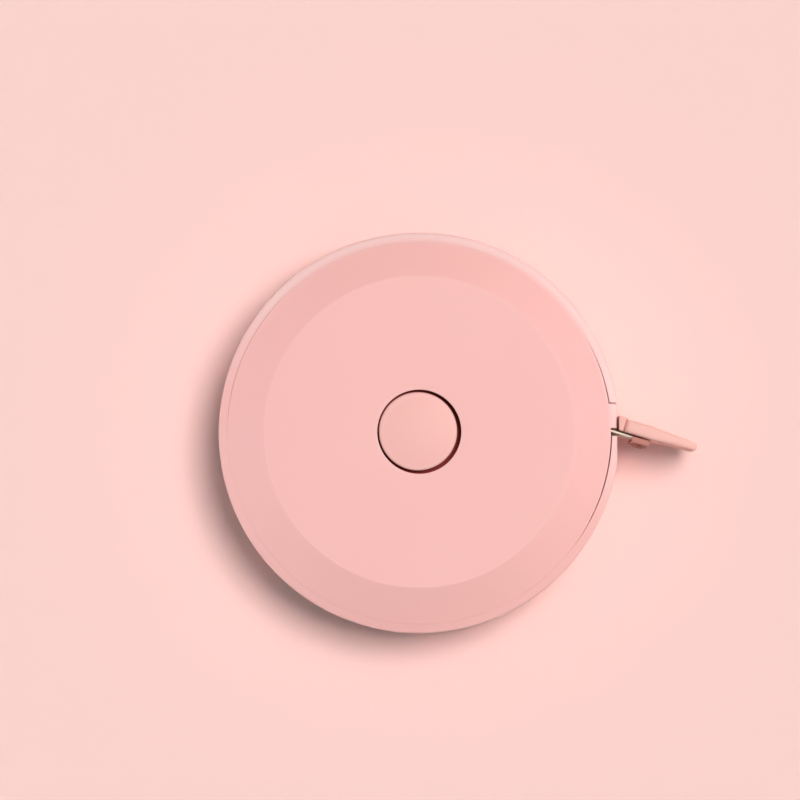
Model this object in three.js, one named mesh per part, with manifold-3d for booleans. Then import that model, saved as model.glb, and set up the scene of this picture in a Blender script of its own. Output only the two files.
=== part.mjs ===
// A round pocket tape measure: a soft tape on a spring-return reel, held by a friction brake.
// Millimetres, +Z up. The origin is the centre of the resting face, on the axis of the reel.
// The tape leaves the case at +X. Pressing the button lowers the brake, and the mainspring winds the tape in.
import * as THREE from 'three';
import { mergeVertices } from 'three/addons/utils/BufferGeometryUtils.js';
import Module from 'manifold-3d';

// Tape and the way it is wound
const TAPE_WIDTH = 7;
const TAPE_THICKNESS = 0.25;
const TAPE_TURNS = 15;
const TAPE_TUCK = 0.85;
const KEY_THICKNESS = 0.35;

// Reel
const HUB_WALL = 1.7;
const FLANGE_THICKNESS = 0.8;
const FLANGE_OVERHANG = 0.3;
const COVER_THICKNESS = 0.7;
const SPIGOT_WALL = 0.6;
const SPIGOT_DEPTH = 1.35;
const LEDGE_WIDTH = 0.3;
const LID_THICKNESS = 0.4;

// Mainspring
const SPRING_TURNS = 7.5;
const SPRING_THICKNESS = 0.2;
const SPRING_HOOK = 0.7;

// Post in the middle of the lower shell, with the button's coil spring in its bore
const COIL_RADIUS = 1.4;
const COIL_WIRE = 0.35;
const COIL_CURLS = 5.5;
const POST_WALL = 1.3;
const POST_SLOT = 1.0;
const POST_ENGAGEMENT = 0.6;
const BORE_FLOOR = 0.85;
const JOURNAL_STEP = 0.8;
const THRUST_HEIGHT = 0.25;
const THRUST_WIDTH = 1.0;

// Brake
const DISC_THICKNESS = 0.8;
const DISC_HUB_WALL = 1.25;
const DISC_KEY = 0.8;
const BRAKE_RING_WIDTH = 0.8;
const BRAKE_RING_HEIGHT = 0.65;
const RABBET_DEPTH = 0.25;

// Button
const SOCKET_WALL = 0.65;
const SOCKET_DEPTH = 1.7;
const SOCKET_LEDGE = 0.72;
const BUTTON_LIP = 1.115;
const LIP_THICKNESS = 0.8;
const BUTTON_PLAY = 0.35;
const BUTTON_OFFSET = 0.13;
const BUTTON_TRAVEL = 1.2;
const BUTTON_PROUD = 0.4;
const BUTTON_DOME = 0.55;
const BUTTON_EDGE = 0.3;

// Case
const CASE_RADIUS = 26;
const WALL = 1.4;
const RIM_STEP = 1.16;
const REEL_MARGIN = 2.115;
const HEADROOM = 1.65;
const CROWN = 0.3;
const BEVEL_WIDTH = 4.74;
const BEVEL_ANGLE = 29;
const RIM_FILLET = 0.2;
const BASE_BEVEL_WIDTH = 3.4;
const BASE_BEVEL_ANGLE = 30;
const BASE_FILLET = 1.0;
const RIM_REVEAL = 0.06;
const RIM_ROUND = 0.5;
const SEAM_GAP = 0.12;
const SEAM_GROOVE = 0.2;
const TONGUE_THICKNESS = 0.6;
const TONGUE_HEIGHT = 0.65;
const SNAP = 0.2;
const COLLAR_WALL = 0.7;
const SHOULDER_WIDTH = 0.9;

// Mouth
const MOUTH_EDGE = 0.6;
const MOUTH_FLAT = 0.3;
const SLOT_WIDTH = 1.05;
const SLOT_ENTRY = 1.2;
const SLOT_MARGIN = 0.45;
const NOSE_RADIUS = 0.9;
const BLOCK_WIDTH = 3.1;
const BLOCK_REACH = 0.66;
const BLOCK_CORNER = 0.35;
const EXIT_ANGLE = -17;

// Pull tab
const TAB_LENGTH = 10.4;
const TAB_HEIGHT = 9;
const TAB_THICKNESS = 1.7;
const TAB_TAPER = 0.35;
const TAB_CORNER = 2.2;
const NECK_LENGTH = 0.8;
const NECK_HEIGHT = 7.6;
const NECK_THICKNESS = 1.9;
const NECK_CORNER = 0.6;
const CLAMP_LENGTH = 2.3;
const CLAMP_THICKNESS = 0.35;
const CLAMP_LIP = 0.35;
const CLAMP_CORNER = 0.25;
const CLAMP_SETBACK = 1.9;
const RIVET_RADIUS = 0.4;
const RIVET_HEAD = 0.8;
const RIVET_HEAD_HEIGHT = 0.2;
const RIVET_SPACING = 3.6;

// Clearances: running faces, snug fits, sliding fits, round the tape, and under a loose winding
const RUN = 0.1;
const FIT = 0.1;
const SLIDE = 0.15;
const GRIP = 0.2;
const SEAT = 0.3;

// Facets round a full turn, and steps along a curve
const CASE_FACETS = 56;
const REEL_FACETS = 40;
const SMALL_FACETS = 32;
const RIVET_FACETS = 12;
const TURN_STEPS = 24;
const SPRING_STEPS = 20;
const CURL_STEPS = 8;
const WIRE_SIDES = 5;
const FILLET_STEPS = 3;
const CURVE_STEPS = 8;

const FULL_TURN = 2 * Math.PI;
const RIGHT_ANGLE = Math.PI / 2;
const degrees = THREE.MathUtils.degToRad;
const at = (x, y) => new THREE.Vector2(x, y);
const polar = (radius, angle) => at(radius * Math.cos(angle), radius * Math.sin(angle));
const rightOf = (heading) => polar(1, heading - RIGHT_ANGLE);

// Radii, from the coil spring on the axis out to the hub that the tape winds on
const postBore = COIL_RADIUS + COIL_WIRE / 2 + SEAT;
const postRadius = postBore + POST_WALL;
const journalRadius = postRadius + JOURNAL_STEP;
const drumBore = journalRadius + SLIDE;
const thrustInner = drumBore + SEAT;
const discBore = postRadius + SLIDE;
const discHub = discBore + DISC_HUB_WALL;
const socketInner = discHub + BUTTON_OFFSET + FIT;
const socketOuter = socketInner + SOCKET_WALL;
const lipRadius = socketOuter + SOCKET_LEDGE;
const buttonRadius = lipRadius - BUTTON_LIP;
const holeRadius = buttonRadius + BUTTON_PLAY;
const collarInner = lipRadius + BUTTON_PLAY;
const collarOuter = collarInner + COLLAR_WALL;
const coverHole = collarOuter + SLIDE;
const brakeInner = coverHole + SLIDE;
const brakeOuter = brakeInner + BRAKE_RING_WIDTH;
const discRadius = brakeOuter + FIT;
const spigotInner = discRadius + SLIDE;
const spigotOuter = spigotInner + SPIGOT_WALL;
const counterbore = spigotOuter + FIT;
const springRoom = counterbore - LEDGE_WIDTH;
const hubRadius = springRoom + HUB_WALL;
const windingInner = hubRadius + SEAT;

// Radii, from the rim of the case in to the outside of the winding
const bottomRadius = CASE_RADIUS;
const topRadius = bottomRadius - RIM_STEP;
const creaseRadius = topRadius - BEVEL_WIDTH;
const caseInner = topRadius - WALL;
const midWall = caseInner + WALL / 2;
const tongueRadius = caseInner + TONGUE_THICKNESS;
const rebateRadius = tongueRadius + FIT;
const rimInner = topRadius + SEAM_GAP;
const flangeRadius = caseInner - REEL_MARGIN;
const windingOuter = flangeRadius - FLANGE_OVERHANG;

// Heights, from the resting face up to the rim of the button hole
const floorTop = WALL;
const thrustTop = floorTop + THRUST_HEIGHT;
const reelBottom = thrustTop + RUN;
const flangeTop = reelBottom + FLANGE_THICKNESS;
const journalTop = flangeTop + RUN / 2;
const tapeBottom = flangeTop + RUN;
const tapeTop = tapeBottom + TAPE_WIDTH;
const tapeMiddle = (tapeBottom + tapeTop) / 2;
const coverBottom = tapeTop + RUN;
const coverTop = coverBottom + COVER_THICKNESS;
const roofUnder = coverTop + HEADROOM;
const holeRim = roofUnder + WALL;
const creaseHeight = holeRim - CROWN;

// The bevel of the upper shell, outside and inside, the rim that carries it on, and the seam between them
const bevel = degrees(BEVEL_ANGLE);
const outerDrop = (radius) => creaseHeight - (radius - creaseRadius) * Math.tan(bevel);
const innerDrop = (radius) => outerDrop(radius) - WALL / Math.cos(bevel);
const rimDrop = (radius) => outerDrop(radius) - RIM_REVEAL;
const rebateTop = innerDrop(caseInner) - RUN;
const tongueTop = rebateTop - FIT;
const seamHeight = tongueTop - TONGUE_HEIGHT;
const topShellEdge = seamHeight + SEAM_GROOVE;
const snapHeight = (topShellEdge + tongueTop) / 2;

// Heights of the brake and of what lies under it when the button is down
const brakeTop = coverBottom - RUN;
const brakeBottom = brakeTop - BRAKE_RING_HEIGHT;
const rabbetFloor = brakeBottom - RUN / 2;
const discTop = rabbetFloor + RABBET_DEPTH;
const discBottom = discTop - DISC_THICKNESS;
const postTop = discBottom + POST_ENGAGEMENT;
const boreFloor = journalTop + BORE_FLOOR;
const lidTop = discBottom - BUTTON_TRAVEL - SLIDE;
const lidBottom = lidTop - LID_THICKNESS;
const ledgeHeight = lidBottom - RUN / 2;
const springTop = ledgeHeight - RUN;
const springBottom = flangeTop + GRIP;

// Heights of the button and of the collar that guides it
const lipTop = roofUnder - RUN;
const lipBottom = lipTop - LIP_THICKNESS;
const buttonCeiling = lipBottom + RUN;
const discHubTop = buttonCeiling - RUN;
const socketBottom = buttonCeiling - SOCKET_DEPTH;
const domeTop = holeRim + BUTTON_PROUD;
const domeEdge = domeTop - BUTTON_DOME;
const collarBottom = coverBottom + RUN;
const shoulderBottom = coverTop + RUN;

// The tape's way out: off the winding, round the nose of the mouth block, and straight into the tab
const exitHeading = degrees(EXIT_ANGLE);
const nose = at(topRadius, MOUTH_EDGE + NOSE_RADIUS);
const noseReach = NOSE_RADIUS + SLIDE + TAPE_THICKNESS / 2;
const leadHeading = nose.angle() - Math.asin((windingOuter + noseReach) / nose.length());
const windingExit = rightOf(leadHeading).multiplyScalar(-windingOuter);
const exitPoint = nose.clone().addScaledVector(rightOf(exitHeading), noseReach);
const mouthFace = bottomRadius - MOUTH_FLAT;
const blockFace = topRadius + BLOCK_REACH;
const blockEdge = MOUTH_EDGE + BLOCK_WIDTH;
const slotEdge = MOUTH_EDGE - SLOT_WIDTH;
const slotBottom = tapeBottom - SLOT_MARGIN;
const slotTop = tapeTop + SLOT_MARGIN;

// The tab's own frame has x along the tape and y towards the grip, measured from the exit point
const gripFace = TAPE_THICKNESS / 2 + GRIP;
const stopFace = mouthFace + GRIP;
const tabStart = (stopFace - exitPoint.x + gripFace * Math.sin(exitHeading)) / Math.cos(exitHeading);
const clampStart = tabStart + CLAMP_SETBACK;
const clampEnd = clampStart + CLAMP_LENGTH;
const rivetStation = (clampStart + clampEnd) / 2;
const rivetHole = RIVET_RADIUS + SLIDE;

// Angles of the ends of the tape and of the mainspring
const tuckAngle = windingExit.angle() + TAPE_TURNS * FULL_TURN;
const tuckRadius = hubRadius - TAPE_TUCK;
const postSlotAngle = windingExit.angle() + Math.PI;
const hookAngle = postSlotAngle - SPRING_TURNS * FULL_TURN;
const springInner = postRadius + GRIP + SEAT + SPRING_THICKNESS / 2;
const springOuter = springRoom - GRIP - SPRING_THICKNESS / 2;

const wasm = await Module();
wasm.setup();

function solidOf(geometry) {
  const bare = geometry.clone();
  bare.deleteAttribute('normal');
  bare.deleteAttribute('uv');
  const merged = mergeVertices(bare);
  const vertProperties = new Float32Array(merged.attributes.position.array);
  const triVerts = new Uint32Array(merged.index.array);
  return new wasm.Manifold(new wasm.Mesh({ numProp: 3, vertProperties, triVerts }));
}

function geometryOf(solid) {
  const { vertProperties, triVerts } = solid.getMesh();
  const geometry = new THREE.BufferGeometry();
  geometry.setAttribute('position', new THREE.BufferAttribute(vertProperties, 3));
  geometry.setIndex(new THREE.BufferAttribute(triVerts, 1));
  geometry.computeVertexNormals();
  return geometry;
}

// A profile of radius and height, listed anticlockwise from the axis back to the axis, turned about Z
function revolve(profile, facets) {
  return new THREE.LatheGeometry(profile, facets).rotateX(RIGHT_ANGLE);
}

// The same for a ring, whose profile closes on itself
function revolveRing(profile, facets) {
  return revolve([...profile, profile[0]], facets);
}

// A flat outline raised from one height to another
function raise(outline, low, high) {
  const options = { depth: high - low, bevelEnabled: false, curveSegments: CURVE_STEPS };
  return new THREE.ExtrudeGeometry(outline, options).translate(0, 0, low);
}

// An outline of x and z carried from one y to another
function carry(outline, low, high) {
  return raise(outline, -high, -low).rotateX(RIGHT_ANGLE);
}

// A bar that lies along a radius, from one radius to another and from one side of the radius to the other
function radialBar(angle, from, to, right, left) {
  const corners = [at(from, right), at(to, right), at(to, left), at(from, left)];
  return new THREE.Shape(corners.map((corner) => corner.rotateAround(at(0, 0), angle)));
}

// A rectangle with its corners rounded
function roundedRectangle(left, right, low, high, radius) {
  const outline = new THREE.Shape();
  outline.absarc(right - radius, low + radius, radius, -RIGHT_ANGLE, 0);
  outline.absarc(right - radius, high - radius, radius, 0, RIGHT_ANGLE);
  outline.absarc(left + radius, high - radius, radius, RIGHT_ANGLE, Math.PI);
  outline.absarc(left + radius, low + radius, radius, Math.PI, 3 * RIGHT_ANGLE);
  return outline;
}

// The arc that rounds a corner between two straight lines
function roundCorner(before, corner, after, radius) {
  const back = before.clone().sub(corner).normalize();
  const on = after.clone().sub(corner).normalize();
  const half = Math.acos(back.dot(on)) / 2;
  const middle = back.clone().add(on).normalize();
  const centre = corner.clone().addScaledVector(middle, radius / Math.sin(half));
  const start = corner.clone().addScaledVector(back, radius / Math.tan(half));
  const turn = Math.sign(back.cross(on)) * (2 * half - Math.PI);
  const points = [];
  for (let step = 0; step <= FILLET_STEPS; step += 1) {
    points.push(start.clone().rotateAround(centre, (turn * step) / FILLET_STEPS));
  }
  return points;
}

// A strip of even thickness that stands on edge along a flat path
function ribbon(path, thickness, low, high) {
  const last = path.length - 1;
  const left = [];
  const right = [];
  path.forEach((point, index) => {
    const from = path[Math.max(index, 1) - 1];
    const to = path[Math.min(index, last - 1) + 1];
    const arriving = path[Math.max(index, 1)].clone().sub(from).normalize();
    const leaving = to.clone().sub(path[Math.min(index, last - 1)]).normalize();
    const heading = arriving.clone().add(leaving).normalize();
    const reach = thickness / 2 / heading.dot(arriving);
    right.push(at(point.x + heading.y * reach, point.y - heading.x * reach));
    left.unshift(at(point.x - heading.y * reach, point.y + heading.x * reach));
  });
  return raise(new THREE.Shape([...right, ...left]), low, high);
}

// A flat spiral that runs clockwise as it grows
function spiral(inner, outer, startAngle, turns, stepsPerTurn) {
  const steps = Math.round(turns * stepsPerTurn);
  const points = [];
  for (let step = 0; step <= steps; step += 1) {
    const share = step / steps;
    points.push(polar(inner + (outer - inner) * share, startAngle - turns * FULL_TURN * share));
  }
  return points;
}

// The least clear distance between stretches of a wound path that lie at least half a turn apart
function leastGap(path, thickness, halfTurn) {
  let least = Infinity;
  for (let here = 0; here < path.length; here += 1) {
    for (let there = here + halfTurn; there < path.length - 1; there += 1) {
      const run = path[there + 1].clone().sub(path[there]);
      const reach = path[here].clone().sub(path[there]).dot(run) / run.lengthSq();
      const nearest = path[there].clone().addScaledVector(run, THREE.MathUtils.clamp(reach, 0, 1));
      least = Math.min(least, nearest.distanceTo(path[here]));
    }
  }
  return least - thickness;
}

// The slot of the mouth: wide inside, rounded over the nose of the block, straight at the outside
function slotOutline() {
  const inwards = rightOf(leadHeading);
  const along = polar(1, leadHeading);
  const depth = WALL + REEL_MARGIN;
  const outside = bottomRadius + WALL;
  const noseSide = nose.clone().addScaledVector(inwards, NOSE_RADIUS);
  const farSide = noseSide.clone().addScaledVector(inwards, SLOT_ENTRY);
  const corner = farSide.clone().addScaledVector(along, (slotEdge - farSide.y) / along.y);
  const outline = new THREE.Shape();
  outline.moveTo(outside, MOUTH_EDGE);
  outline.absarc(nose.x, nose.y, NOSE_RADIUS, -RIGHT_ANGLE, leadHeading - RIGHT_ANGLE, true);
  outline.lineTo(noseSide.x - along.x * depth, noseSide.y - along.y * depth);
  outline.lineTo(farSide.x - along.x * depth, farSide.y - along.y * depth);
  outline.lineTo(corner.x, corner.y);
  outline.lineTo(outside, slotEdge);
  return outline;
}

const mouthSlot = solidOf(raise(slotOutline(), slotBottom, slotTop));

// The base bevel and the rim of the lower shell, which stands up outside the upper shell
function outerEdge() {
  const start = at(bottomRadius - BASE_BEVEL_WIDTH, 0);
  const corner = at(bottomRadius, BASE_BEVEL_WIDTH * Math.tan(degrees(BASE_BEVEL_ANGLE)));
  const rim = at(bottomRadius, rimDrop(bottomRadius));
  const end = at(rimInner, rimDrop(rimInner));
  const foot = roundCorner(start, corner, rim, BASE_FILLET);
  return [start, ...foot, ...roundCorner(corner, rim, end, RIM_ROUND), end, at(rimInner, seamHeight)];
}

function bottomShell() {
  const baseBevel = degrees(BASE_BEVEL_ANGLE);
  const innerRise = (radius) =>
    (radius - bottomRadius + BASE_BEVEL_WIDTH) * Math.tan(baseBevel) + WALL / Math.cos(baseBevel);
  const innerFloor = caseInner - (innerRise(caseInner) - floorTop) / Math.tan(baseBevel);
  const body = revolve(
    [
      at(0, 0),
      ...outerEdge(),
      at(tongueRadius, seamHeight),
      at(tongueRadius, snapHeight - SNAP),
      at(tongueRadius + SNAP, snapHeight),
      at(tongueRadius, snapHeight + SNAP),
      at(tongueRadius, tongueTop),
      at(caseInner, tongueTop),
      at(caseInner, innerRise(caseInner)),
      at(innerFloor, floorTop),
      at(thrustInner + THRUST_WIDTH, floorTop),
      at(thrustInner + THRUST_WIDTH, thrustTop),
      at(thrustInner, thrustTop),
      at(thrustInner, floorTop),
      at(journalRadius, floorTop),
      at(journalRadius, journalTop),
      at(postRadius, journalTop),
      at(postRadius, postTop),
      at(postBore, postTop),
      at(postBore, boreFloor),
      at(0, boreFloor),
    ],
    CASE_FACETS,
  );
  const flatBar = radialBar(0, mouthFace, bottomRadius + WALL, -bottomRadius, bottomRadius);
  const flat = solidOf(raise(flatBar, -WALL, holeRim));
  const notchStart = rebateRadius + SNAP;
  const notchBar = radialBar(0, notchStart, bottomRadius + WALL, slotEdge, blockEdge + GRIP);
  const notch = solidOf(raise(notchBar, seamHeight, holeRim));
  const slotBar = radialBar(postSlotAngle, -journalRadius, journalRadius, -POST_SLOT / 2, POST_SLOT / 2);
  const postSlot = solidOf(raise(slotBar, journalTop, postTop + POST_SLOT));
  const cuts = [flat, notch, mouthSlot, postSlot];
  return geometryOf(cuts.reduce((left, piece) => left.subtract(piece), solidOf(body)));
}

function topShell() {
  const innerCeiling = caseInner - (roofUnder - innerDrop(caseInner)) / Math.tan(bevel);
  const crease = at(creaseRadius, creaseHeight);
  const rimCorner = at(topRadius, outerDrop(topRadius));
  const rimFoot = at(topRadius, topShellEdge);
  const crownRadius = (holeRadius + creaseRadius) / 2;
  const shoulderRadius = collarOuter + SHOULDER_WIDTH;
  const body = revolveRing(
    [
      at(holeRadius, roofUnder),
      at(collarInner, roofUnder),
      at(collarInner, collarBottom),
      at(collarOuter, collarBottom),
      at(collarOuter, shoulderBottom),
      at(shoulderRadius, shoulderBottom),
      at(shoulderRadius, roofUnder),
      at(innerCeiling, roofUnder),
      at(caseInner, innerDrop(caseInner)),
      at(caseInner, rebateTop),
      at(rebateRadius, rebateTop),
      at(rebateRadius, snapHeight + SNAP),
      at(rebateRadius + SNAP, snapHeight),
      at(rebateRadius, snapHeight - SNAP),
      at(rebateRadius, topShellEdge),
      rimFoot,
      ...roundCorner(rimFoot, rimCorner, crease, RIM_FILLET),
      crease,
      at(crownRadius, holeRim - CROWN / 4),
      at(holeRadius, holeRim),
    ],
    CASE_FACETS,
  );
  const reach = blockFace + WALL;
  const cone = [at(0, 0), at(reach, 0), at(reach, outerDrop(reach)), crease, at(0, creaseHeight)];
  const outline = new THREE.Shape();
  outline.moveTo(midWall, MOUTH_EDGE);
  outline.lineTo(blockFace, MOUTH_EDGE);
  const corner = blockFace - BLOCK_CORNER;
  outline.absarc(corner, blockEdge - BLOCK_CORNER, BLOCK_CORNER, 0, RIGHT_ANGLE);
  outline.lineTo(midWall, blockEdge);
  const block = solidOf(raise(outline, topShellEdge, holeRim)).intersect(solidOf(revolve(cone, CASE_FACETS)));
  return geometryOf(solidOf(body).add(block).subtract(mouthSlot));
}

function button() {
  const edge = at(buttonRadius, domeEdge);
  const crownStep = at(buttonRadius / 2, domeTop - BUTTON_DOME / 4);
  const profile = [
    at(0, buttonCeiling),
    at(socketInner, buttonCeiling),
    at(socketInner, socketBottom),
    at(socketOuter, socketBottom),
    at(socketOuter, lipBottom),
    at(lipRadius, lipBottom),
    at(lipRadius, lipTop),
    at(buttonRadius, lipTop),
    ...roundCorner(at(buttonRadius, lipTop), edge, crownStep, BUTTON_EDGE),
    crownStep,
    at(0, domeTop),
  ];
  return revolve(profile, SMALL_FACETS);
}

function brakeDisc() {
  const rabbetInner = brakeInner - FIT;
  const body = revolveRing(
    [
      at(discBore, discBottom),
      at(discRadius, discBottom),
      at(discRadius, rabbetFloor),
      at(rabbetInner, rabbetFloor),
      at(rabbetInner, discTop),
      at(discHub, discTop),
      at(discHub, discHubTop),
      at(discBore, discHubTop),
    ],
    SMALL_FACETS,
  );
  const keyReach = (discBore + discHub) / 2;
  const keyBar = radialBar(postSlotAngle, -keyReach, keyReach, -DISC_KEY / 2, DISC_KEY / 2);
  return geometryOf(solidOf(body).add(solidOf(raise(keyBar, discBottom, discTop))));
}

function brakeRing() {
  const chamfer = BRAKE_RING_WIDTH / 4;
  return revolveRing(
    [
      at(brakeInner, brakeBottom),
      at(brakeOuter, brakeBottom),
      at(brakeOuter, brakeTop - chamfer),
      at(brakeOuter - chamfer, brakeTop),
      at(brakeInner + chamfer, brakeTop),
      at(brakeInner, brakeTop - chamfer),
    ],
    SMALL_FACETS,
  );
}

function buttonSpring() {
  const low = boreFloor + RUN + COIL_WIRE / 2;
  const high = discBottom - RUN - COIL_WIRE / 2;
  const steps = Math.round(COIL_CURLS * CURL_STEPS);
  const path = [];
  for (let step = 0; step <= steps; step += 1) {
    const place = polar(COIL_RADIUS, (step / CURL_STEPS) * FULL_TURN);
    path.push(new THREE.Vector3(place.x, place.y, low + ((high - low) * step) / steps));
  }
  console.log('button_spring least gap to itself, mm:', leastGap(path, COIL_WIRE, CURL_STEPS / 2).toFixed(3));
  const wire = new THREE.Shape();
  for (let side = 0; side < WIRE_SIDES; side += 1) {
    const corner = polar(COIL_WIRE / 2, (side / WIRE_SIDES) * FULL_TURN);
    if (side) wire.lineTo(corner.x, corner.y);
    else wire.moveTo(corner.x, corner.y);
  }
  return new THREE.ExtrudeGeometry(wire, { steps, extrudePath: new THREE.CatmullRomCurve3(path) });
}

function reelDrum() {
  const body = revolveRing(
    [
      at(drumBore, reelBottom),
      at(flangeRadius, reelBottom),
      at(flangeRadius, flangeTop),
      at(hubRadius, flangeTop),
      at(hubRadius, tapeTop),
      at(counterbore, tapeTop),
      at(counterbore, ledgeHeight),
      at(springRoom, ledgeHeight),
      at(springRoom, flangeTop),
      at(drumBore, flangeTop),
    ],
    REEL_FACETS,
  );
  const tapeSide = TAPE_THICKNESS / 2 + FIT;
  const keySide = tapeSide + KEY_THICKNESS + FIT;
  const tuckBar = radialBar(tuckAngle, tuckRadius - FIT, windingInner, -tapeSide, keySide);
  const hookSide = SPRING_THICKNESS / 2 + GRIP;
  const hookBar = radialBar(hookAngle, springOuter, springRoom + SPRING_HOOK + FIT, -hookSide, hookSide);
  const slots = [tuckBar, hookBar].map((bar) => solidOf(raise(bar, flangeTop, coverBottom)));
  return geometryOf(slots.reduce((left, slot) => left.subtract(slot), solidOf(body)));
}

function reelCover() {
  return revolveRing(
    [
      at(coverHole, coverBottom),
      at(spigotInner, coverBottom),
      at(spigotInner, coverBottom - SPIGOT_DEPTH),
      at(spigotOuter, coverBottom - SPIGOT_DEPTH),
      at(spigotOuter, coverBottom),
      at(flangeRadius, coverBottom),
      at(flangeRadius, coverTop),
      at(coverHole, coverTop),
    ],
    REEL_FACETS,
  );
}

function springLid() {
  const inner = postRadius + 2 * GRIP;
  const outer = counterbore - FIT;
  const profile = [at(inner, lidBottom), at(outer, lidBottom), at(outer, lidTop), at(inner, lidTop)];
  return revolveRing(profile, SMALL_FACETS);
}

function mainspring() {
  const path = [
    polar(postBore + GRIP, postSlotAngle),
    ...spiral(springInner, springOuter, postSlotAngle, SPRING_TURNS, SPRING_STEPS),
    polar(springRoom + SPRING_HOOK, hookAngle),
  ];
  const gap = leastGap(path, SPRING_THICKNESS, SPRING_STEPS / 2);
  console.log('mainspring least gap to itself, mm:', gap.toFixed(3));
  return ribbon(path, SPRING_THICKNESS, springBottom, springTop);
}

function tapeWinding() {
  const turns = spiral(windingInner, windingOuter, tuckAngle, TAPE_TURNS, TURN_STEPS);
  const path = [polar(tuckRadius, tuckAngle), ...turns];
  const gap = leastGap(path, TAPE_THICKNESS, TURN_STEPS / 2);
  console.log('tape_winding least gap to itself, mm:', gap.toFixed(3));
  return ribbon(path, TAPE_THICKNESS, tapeBottom, tapeTop);
}

function tapeKey() {
  const side = TAPE_THICKNESS / 2 + FIT;
  const bar = radialBar(tuckAngle, tuckRadius, hubRadius, side, side + KEY_THICKNESS);
  return raise(bar, tapeBottom, tapeTop - RUN);
}

// The two rivet holes, across the tab's frame
function rivetHoles() {
  const long = 2 * (TAB_THICKNESS + CLAMP_THICKNESS + gripFace);
  const drill = new THREE.CylinderGeometry(rivetHole, rivetHole, long, RIVET_FACETS);
  const holes = [-1, 1].map((side) =>
    solidOf(drill.clone().translate(rivetStation, 0, tapeMiddle + (side * RIVET_SPACING) / 2)),
  );
  return holes[0].add(holes[1]);
}

const tabFrame = new THREE.Matrix4()
  .makeRotationZ(exitHeading)
  .setPosition(exitPoint.x, exitPoint.y, 0);

function tapeLead() {
  const start = windingExit.clone().addScaledVector(polar(1, leadHeading), SEAT);
  const path = [start];
  for (let step = 0; step <= CURVE_STEPS; step += 1) {
    const heading = leadHeading + ((exitHeading - leadHeading) * step) / CURVE_STEPS;
    path.push(nose.clone().addScaledVector(rightOf(heading), noseReach));
  }
  path.push(exitPoint.clone().addScaledVector(polar(1, exitHeading), clampEnd));
  const strip = solidOf(ribbon(path, TAPE_THICKNESS, tapeBottom, tapeTop));
  const holes = solidOf(geometryOf(rivetHoles()).applyMatrix4(tabFrame));
  return geometryOf(strip.subtract(holes));
}

// The grip: where its plan, seen from above, meets its side view. Its neck lies flat against the mouth.
function pullTab() {
  const end = tabStart + TAB_LENGTH;
  const shoulder = tabStart + NECK_LENGTH;
  const back = gripFace + TAB_THICKNESS;
  const neckBack = gripFace + NECK_THICKNESS;
  const neckStart = tabStart + NECK_THICKNESS * Math.tan(exitHeading);
  const flangeEnd = shoulder - GRIP;
  const tipRadius = TAB_THICKNESS / 2 - TAB_TAPER;
  const plan = new THREE.Shape();
  plan.moveTo(tabStart, gripFace);
  plan.lineTo(clampEnd, gripFace);
  plan.absarc(end - tipRadius, gripFace + TAB_THICKNESS / 2, tipRadius, -RIGHT_ANGLE, RIGHT_ANGLE);
  plan.lineTo(clampEnd, back);
  plan.lineTo(flangeEnd, back);
  plan.lineTo(flangeEnd, neckBack);
  plan.lineTo(neckStart, neckBack);
  const low = tapeMiddle - TAB_HEIGHT / 2;
  const high = tapeMiddle + TAB_HEIGHT / 2;
  const side = new THREE.Shape();
  side.moveTo(neckStart - GRIP, tapeMiddle - NECK_HEIGHT / 2);
  side.lineTo(shoulder, tapeMiddle - NECK_HEIGHT / 2);
  side.absarc(shoulder + NECK_CORNER, low + NECK_CORNER, NECK_CORNER, Math.PI, 3 * RIGHT_ANGLE);
  side.absarc(end - TAB_CORNER, low + TAB_CORNER, TAB_CORNER, -RIGHT_ANGLE, 0);
  side.absarc(end - TAB_CORNER, high - TAB_CORNER, TAB_CORNER, 0, RIGHT_ANGLE);
  side.absarc(shoulder + NECK_CORNER, high - NECK_CORNER, NECK_CORNER, RIGHT_ANGLE, Math.PI);
  side.lineTo(shoulder, tapeMiddle + NECK_HEIGHT / 2);
  side.lineTo(neckStart - GRIP, tapeMiddle + NECK_HEIGHT / 2);
  const blade = solidOf(raise(plan, low - GRIP, high + GRIP));
  const outline = solidOf(carry(side, gripFace - GRIP, neckBack + GRIP));
  return geometryOf(blade.intersect(outline).subtract(rivetHoles()));
}

// The clamp: a channel that folds over both edges of the tape
function tabClamp() {
  const low = tapeBottom - GRIP;
  const high = tapeTop + GRIP;
  const back = -gripFace - CLAMP_THICKNESS;
  const front = TAPE_THICKNESS / 2;
  const side = roundedRectangle(clampStart, clampEnd, low - CLAMP_LIP, high + CLAMP_LIP, CLAMP_CORNER);
  const room = radialBar(0, clampStart - GRIP, clampEnd + GRIP, -gripFace, gripFace);
  const channel = solidOf(carry(side, back, front)).subtract(solidOf(raise(room, low, high)));
  return geometryOf(channel.subtract(rivetHoles()));
}

// A rivet along y, with a head on the clamp, finished flush with the back of the grip
function tabRivet(side) {
  const front = -gripFace - CLAMP_THICKNESS - RUN;
  const back = gripFace + TAB_THICKNESS;
  const profile = [
    at(0, front - RIVET_HEAD_HEIGHT),
    at(RIVET_HEAD, front - RIVET_HEAD_HEIGHT / 2),
    at(RIVET_HEAD, front),
    at(RIVET_RADIUS, front),
    at(RIVET_RADIUS, back),
    at(0, back),
  ];
  const rivet = new THREE.LatheGeometry(profile, RIVET_FACETS);
  return rivet.translate(rivetStation, 0, tapeMiddle + (side * RIVET_SPACING) / 2);
}

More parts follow.
